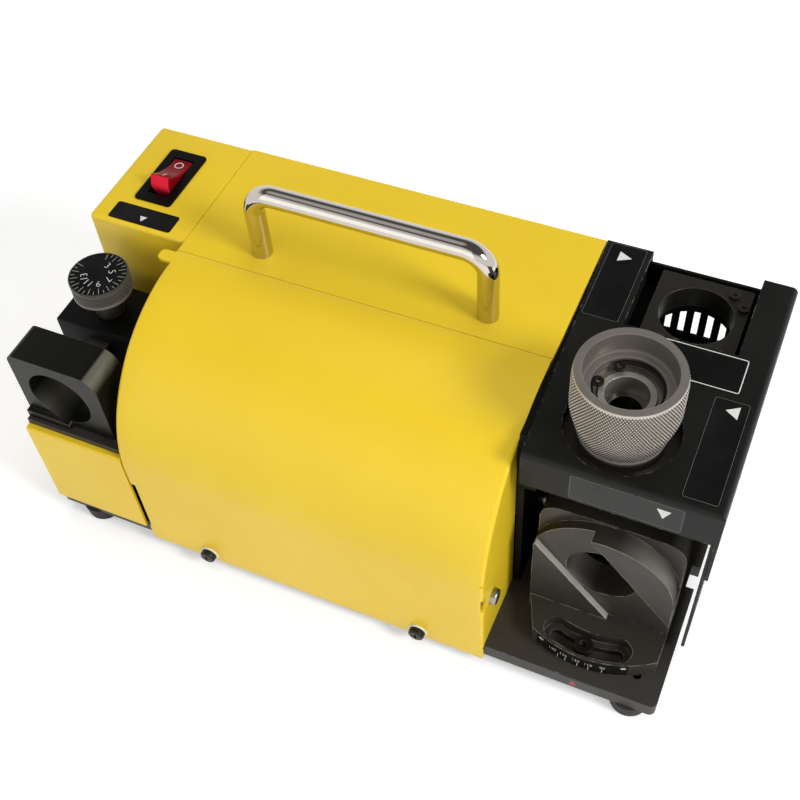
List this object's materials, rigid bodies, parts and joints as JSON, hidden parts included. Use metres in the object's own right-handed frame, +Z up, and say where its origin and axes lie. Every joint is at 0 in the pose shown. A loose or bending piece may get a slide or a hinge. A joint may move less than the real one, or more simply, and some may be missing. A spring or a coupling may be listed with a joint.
{
  "type": "drill bit grinder",
  "caption": "Bench drill bit grinder with a motor-driven wheel, a curved cover, a carry handle, a removable collet chuck and grinding stations for the point, relief and split.",
  "frame": {"origin": "on the floor plane under the middle of the machine's overall length and depth", "axes": "+X to the grinding stations, along the motor shaft; +Y to the back; +Z up"},
  "size_m": [0.32, 0.1662, 0.1774],
  "materials": {
    "yellow_paint": "satin powder coat",
    "black_paint": "satin black paint",
    "phosphated_steel": "dark phosphated steel",
    "plain_steel": "bright turned steel",
    "black_oxide": "black oxide",
    "rubber": "matte rubber",
    "white_nylon": "white nylon",
    "chrome": "polished chrome",
    "black_plastic": "moulded plastic",
    "red_plastic": "translucent red",
    "nickel_steel": "satin nickel, knurled",
    "anodised_black": "black anodised, knurled",
    "motor_steel": "plain",
    "cast_alloy": "cast",
    "ferrite": "matte",
    "carbon": "matte",
    "copper": "turned copper",
    "abrasive": "abrasive grit"
  },
  "bodies": {
    "machine": {"main_housing": "yellow_paint", "front_cover": "yellow_paint", "switch_box": "yellow_paint", "setting_pedestal": "yellow_paint", "base_plate": "black_paint", "setting_base": "black_paint", "station_deck": "black_paint", "side_panel": "black_paint", "back_wall": "black_paint", "motor_bulkhead": "black_paint", "seat_bridge": "black_paint", "setting_block": "phosphated_steel", "dial_bracket": "phosphated_steel", "split_seat": "phosphated_steel", "relief_seat": "phosphated_steel", "foot_screws": "plain_steel", "cover_bracket": "plain_steel", "cover_side_screw": "plain_steel", "handle_screws": "plain_steel", "switch_terminals": "plain_steel", "side_panel_screws": "plain_steel", "seat_screws": "plain_steel", "machine_screws": "plain_steel", "deck_standoffs": "plain_steel", "motor_bearings": "plain_steel", "pivot_pin": "plain_steel", "clamp_screw": "black_oxide", "cover_screws": "black_oxide", "rubber_feet": "rubber", "cover_washers": "white_nylon", "carry_handle": "chrome", "switch_bezel": "black_plastic", "brush_holders": "black_plastic", "rectifier": "black_plastic", "cable_gland": "black_plastic", "motor_can": "motor_steel", "motor_front_bell": "cast_alloy", "motor_rear_bell": "cast_alloy", "motor_magnets": "ferrite", "carbon_brushes": "carbon"},
    "rotor": {"rotor_shaft": "plain_steel", "armature": "motor_steel", "commutator": "copper", "cooling_fan": "black_plastic", "wheel_flange": "plain_steel", "wheel_body": "cast_alloy", "abrasive_rim": "abrasive", "wheel_nut": "plain_steel"},
    "rocker": {"rocker": "red_plastic"},
    "dial": {"dial_knob": "anodised_black", "dial_stem": "plain_steel"},
    "stop": {"stop_slide": "plain_steel"},
    "seat": {"swivel_seat": "phosphated_steel"},
    "chuck": {"chuck_body": "plain_steel"},
    "chuck_nut": {"chuck_sleeve": "nickel_steel", "chuck_circlip": "black_oxide"},
    "chuck_collet": {"collet": "plain_steel", "draw_tube": "plain_steel"}
  },
  "joints": [
    {"name": "wheel_spin", "type": "hinge", "parent": "machine", "child": "rotor", "pos_m": [0.117, 0.01315, 0.06], "axis": [1, 0, 0], "continuous": true},
    {"name": "rocker_press", "type": "hinge", "parent": "machine", "child": "rocker", "pos_m": [-0.135, 0.04195, 0.1345], "axis": [1, 0, 0], "range_deg": [0, 40]},
    {"name": "dial_turn", "type": "hinge", "parent": "machine", "child": "dial", "pos_m": [-0.1375, -0.02255, 0.131], "axis": [0, 0, 1], "range_deg": [-15, 240]},
    {"name": "stop_slide", "type": "slide", "parent": "machine", "child": "stop", "axis": [0, 1, 0], "range_m": [-0.00026, 0.00401]},
    {"name": "seat_swivel", "type": "hinge", "parent": "machine", "child": "seat", "pos_m": [0.118, -0.01785, 0.0175], "axis": [0, 0, 1], "range_deg": [-14, 11]},
    {"name": "chuck_lift", "type": "slide", "parent": "machine", "child": "chuck", "axis": [0, 0, 1], "range_m": [0, 0.045]},
    {"name": "sleeve_turn", "type": "hinge", "parent": "chuck", "child": "chuck_nut", "pos_m": [0.1115, -0.02285, 0.1296], "axis": [0, 0, 1], "range_deg": [0, 360]},
    {"name": "collet_draw", "type": "slide", "parent": "chuck", "child": "chuck_collet", "axis": [0, 0, -1], "range_m": [0, 0.00151]}
  ],
  "couplings": [
    {"joint": "stop_slide", "follows": "dial_turn", "m_per_rad": 0.00095493},
    {"joint": "collet_draw", "follows": "sleeve_turn", "m_per_rad": 0.00023873}
  ]
}
